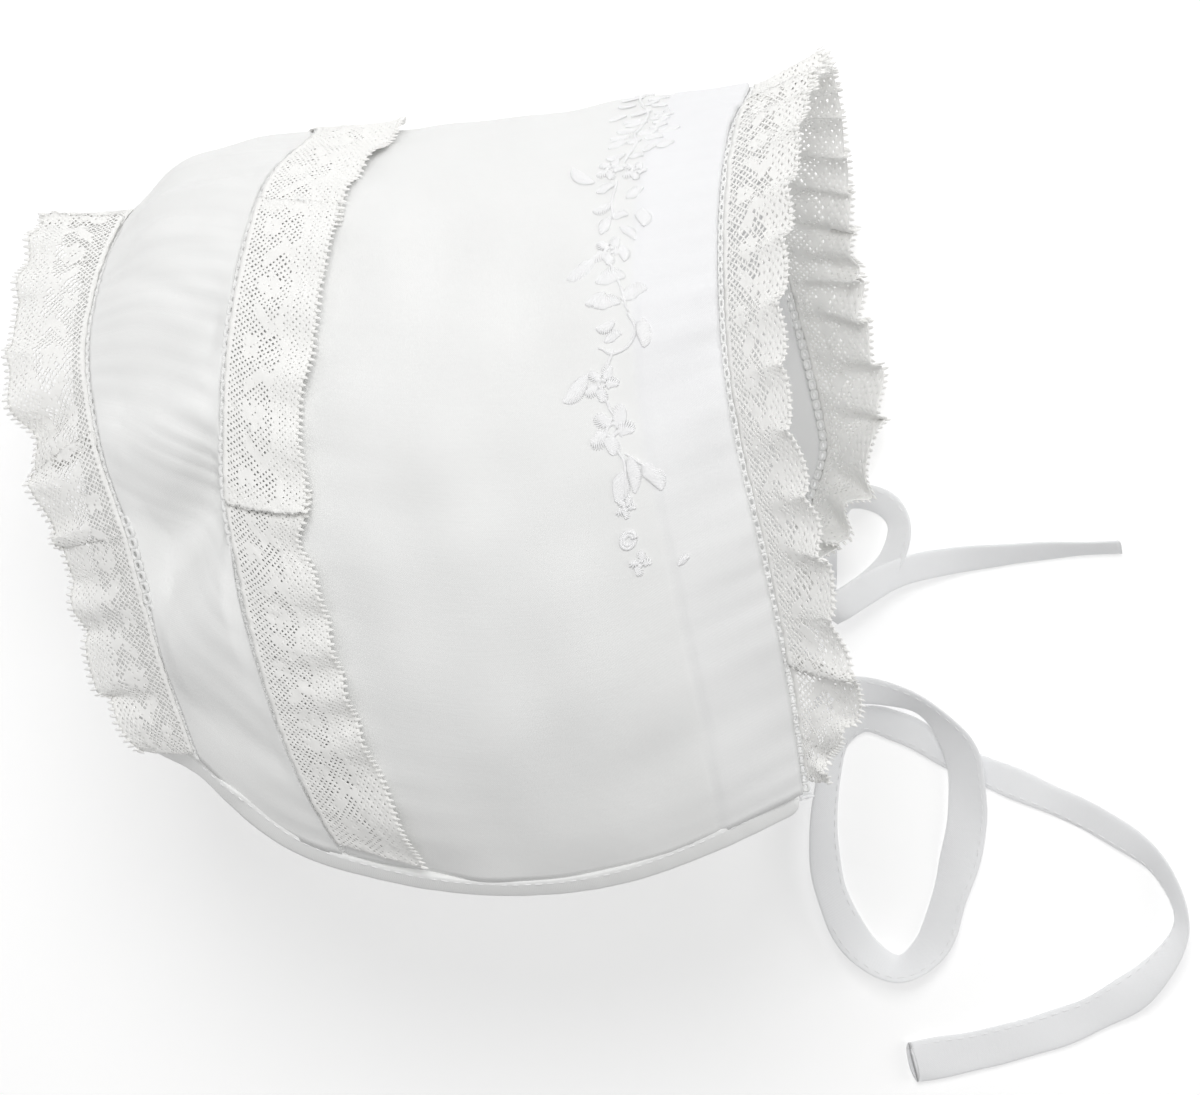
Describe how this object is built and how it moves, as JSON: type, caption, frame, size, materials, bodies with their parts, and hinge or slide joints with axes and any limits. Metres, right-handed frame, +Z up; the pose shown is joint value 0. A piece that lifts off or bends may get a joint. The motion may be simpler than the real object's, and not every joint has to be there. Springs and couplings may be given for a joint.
{
  "type": "baby bonnet",
  "caption": "Rounded cotton baby bonnet with gathered lace bands around the face, crown and back seams, a bound neck edge and two narrow ties.",
  "frame": {"origin": "on the surface that the bonnet lies on, under the middle of its bounding box without the ties", "axes": "+X forward out of the face opening, +Y towards the crown of the head, +Z up from the surface, towards the wearer's other side"},
  "size_m": [0.2221, 0.2263, 0.1165],
  "materials": {
    "white_cotton": "fine plain-woven cotton, matt with a faint sheen",
    "white_lace": "cotton bobbin lace, matt",
    "tie_cotton": "narrow folded cotton tie, matt with a faint sheen"
  },
  "bodies": {
    "root": {"front_panel": "white_cotton", "back_band": "white_cotton", "crown_back": "white_cotton", "neck_binding": "white_cotton", "face_lace": "white_lace", "middle_lace": "white_lace", "back_lace": "white_lace", "near_tie": "tie_cotton", "far_tie": "tie_cotton"}
  },
  "joints": []
}
